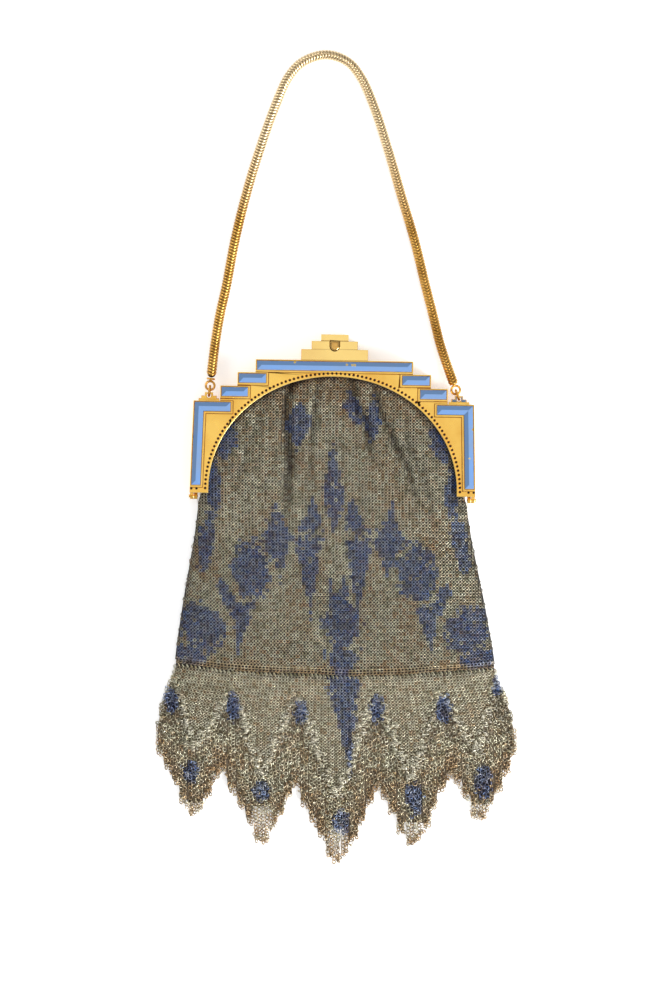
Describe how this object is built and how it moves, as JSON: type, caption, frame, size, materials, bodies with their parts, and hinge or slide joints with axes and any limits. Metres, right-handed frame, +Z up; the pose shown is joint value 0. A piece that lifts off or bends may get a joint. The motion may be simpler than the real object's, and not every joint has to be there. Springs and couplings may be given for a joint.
{
  "type": "metal mesh purse",
  "caption": "Metal mesh evening purse lying on its back: stepped gilt frame with blue enamel bars, snake chain handle, button clasp and a pointed ring fringe.",
  "frame": {"origin": "middle of the base of the whole purse as it lies on its back, on the surface it rests on", "axes": "+Y from the fringe to the top of the chain handle, +Z up out of the front of the purse, +X to the right of someone looking at its front"},
  "size_m": [0.131, 0.2942, 0.0102],
  "materials": {
    "gilt": "satin gilt, lightly worn",
    "enamel": "glossy, with small chips",
    "clasp": "polished",
    "chain": "satin, tarnished in the grooves",
    "ring_mesh": "linked rings, tarnished, with blue paint worn thin"
  },
  "bodies": {
    "purse": {"front_frame": "gilt", "back_frame": "gilt", "enamel_top_bar": "enamel", "enamel_step1_left": "enamel", "enamel_step1_right": "enamel", "enamel_step2_left": "enamel", "enamel_step2_right": "enamel", "enamel_corner_left": "enamel", "enamel_corner_right": "enamel", "hinge_pin_left": "gilt", "hinge_pin_right": "gilt", "chain_link_left": "chain", "chain_link_right": "chain", "chain_end_left": "chain", "chain_end_right": "chain", "snake_chain": "chain", "mesh_pouch": "ring_mesh", "fringe_front": "ring_mesh", "fringe_back": "ring_mesh"},
    "button": {"clasp_button": "clasp"}
  },
  "joints": [
    {"name": "clasp_button_press", "type": "slide", "parent": "purse", "child": "button", "axis": [0, 0, -1], "range_m": [0, 0.001], "stiffness_N_per_m": 300, "springref_m": -0.0005}
  ]
}
